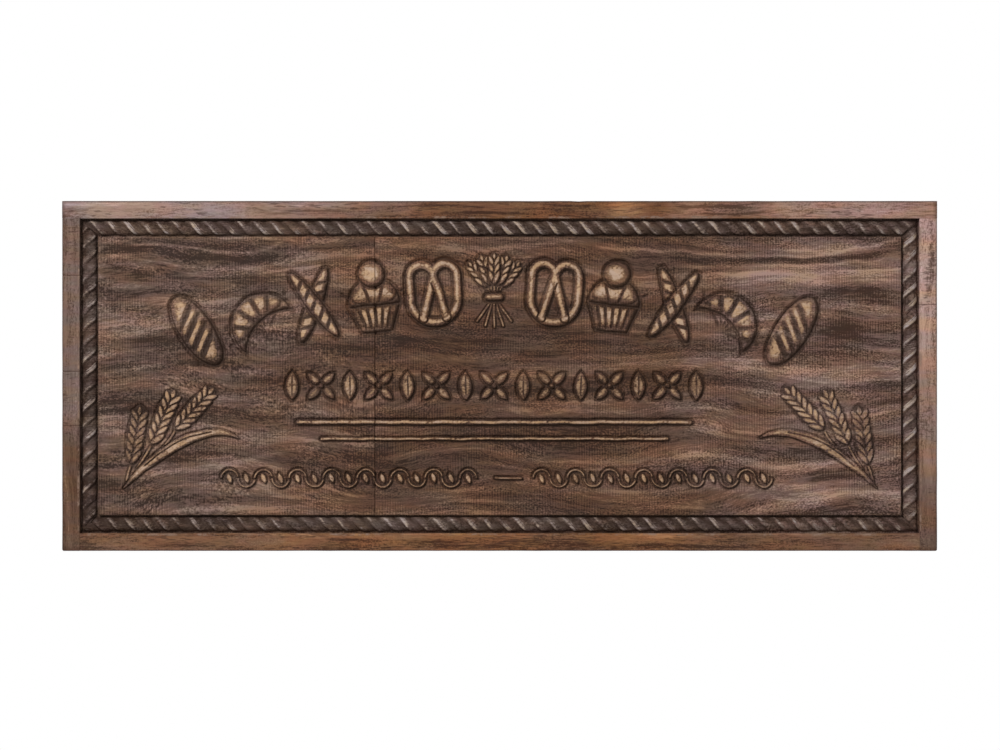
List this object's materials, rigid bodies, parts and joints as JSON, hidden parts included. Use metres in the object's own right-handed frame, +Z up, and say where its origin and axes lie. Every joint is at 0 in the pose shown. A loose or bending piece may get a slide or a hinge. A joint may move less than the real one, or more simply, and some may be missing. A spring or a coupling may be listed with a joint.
{
  "type": "wooden bakery sign",
  "caption": "Wide carved wooden wall sign with a flat edging, a rope border, low-relief bread and wheat carving, battens behind and hinged D-ring hangers.",
  "frame": {"origin": "centre of the sign's box", "axes": "+X along the sign to the viewer's right, +Z up, +Y through the sign from the carved face to the wall"},
  "size_m": [1, 0.032, 0.4],
  "materials": {
    "edging_top": "matt walnut stain, rubbed lighter",
    "edging_bottom": "matt walnut stain",
    "edging_left": "matt walnut stain, greyish",
    "edging_right": "matt walnut stain, rubbed lighter",
    "panel_left": "matt dark walnut stain with saw marks, crests rubbed gold",
    "panel_right": "matt warm walnut stain with saw marks, crests rubbed gold",
    "rope": "matt near-black stain with rubbed strand crests",
    "batten": "bare planed pine",
    "screw": "yellow passivated",
    "hanger_steel": "zinc plated",
    "ring_steel": "zinc plated wire"
  },
  "bodies": {
    "sign": {"top_rail": "edging_top", "bottom_rail": "edging_bottom", "left_stile": "edging_left", "right_stile": "edging_right", "stave_left_1": "panel_left", "stave_right_1": "panel_right", "stave_left_2": "panel_left", "stave_right_2": "panel_right", "stave_left_3": "panel_left", "stave_right_3": "panel_right", "stave_left_4": "panel_left", "stave_right_4": "panel_right", "stave_left_5": "panel_left", "stave_right_5": "panel_right", "rope_top": "rope", "rope_bottom": "rope", "rope_left": "rope", "rope_right": "rope", "batten_left": "batten", "batten_joint": "batten", "batten_right": "batten", "batten_screws": "screw", "hanger_strap_left": "hanger_steel", "hanger_strap_right": "hanger_steel", "hanger_screws": "hanger_steel"},
    "ring_left": {"hanger_ring_left": "ring_steel"},
    "ring_right": {"hanger_ring_right": "ring_steel"}
  },
  "joints": [
    {"name": "ring_left_hinge", "type": "hinge", "parent": "sign", "child": "ring_left", "pos_m": [-0.33, 0.01198, 0.11], "axis": [1, 0, 0], "range_deg": [0, 180]},
    {"name": "ring_right_hinge", "type": "hinge", "parent": "sign", "child": "ring_right", "pos_m": [0.33, 0.01198, 0.11], "axis": [1, 0, 0], "range_deg": [0, 180]}
  ]
}
